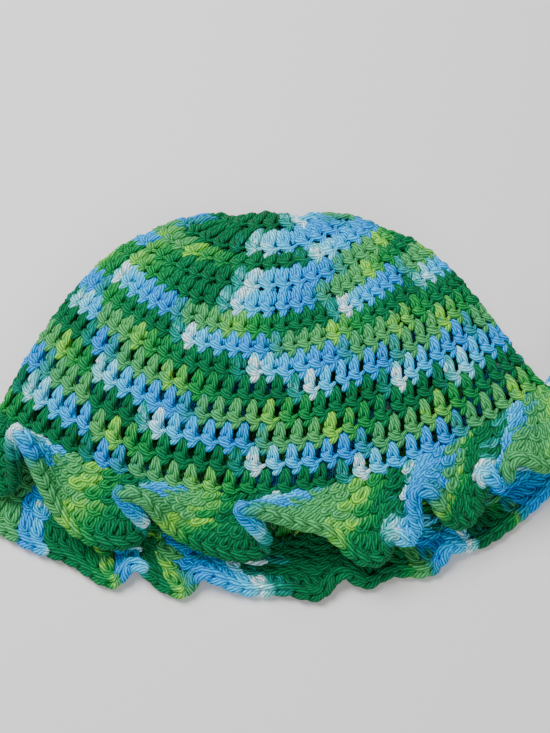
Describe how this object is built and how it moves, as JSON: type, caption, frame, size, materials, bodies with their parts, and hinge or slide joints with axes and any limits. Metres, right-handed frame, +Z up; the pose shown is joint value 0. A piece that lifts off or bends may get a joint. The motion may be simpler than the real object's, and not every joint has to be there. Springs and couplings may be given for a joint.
{
  "type": "crochet bucket hat",
  "caption": "Domed crochet cotton hat with a gathered, ruffled brim, lying folded flat on its side with the mouth open towards the front.",
  "frame": {"origin": "centre of the bounding box, on the surface that the hat lies on", "axes": "+X to the right along the mouth, +Y from the mouth to the far end of the crown, +Z up"},
  "size_m": [0.3235, 0.1994, 0.0561],
  "materials": {
    "crown_yarn": "matt cotton yarn, space-dyed green, blue and white",
    "brim_yarn": "matt cotton yarn, space-dyed green, blue and white"
  },
  "bodies": {
    "root": {"crown": "crown_yarn", "ruffle_brim": "brim_yarn"}
  },
  "joints": []
}
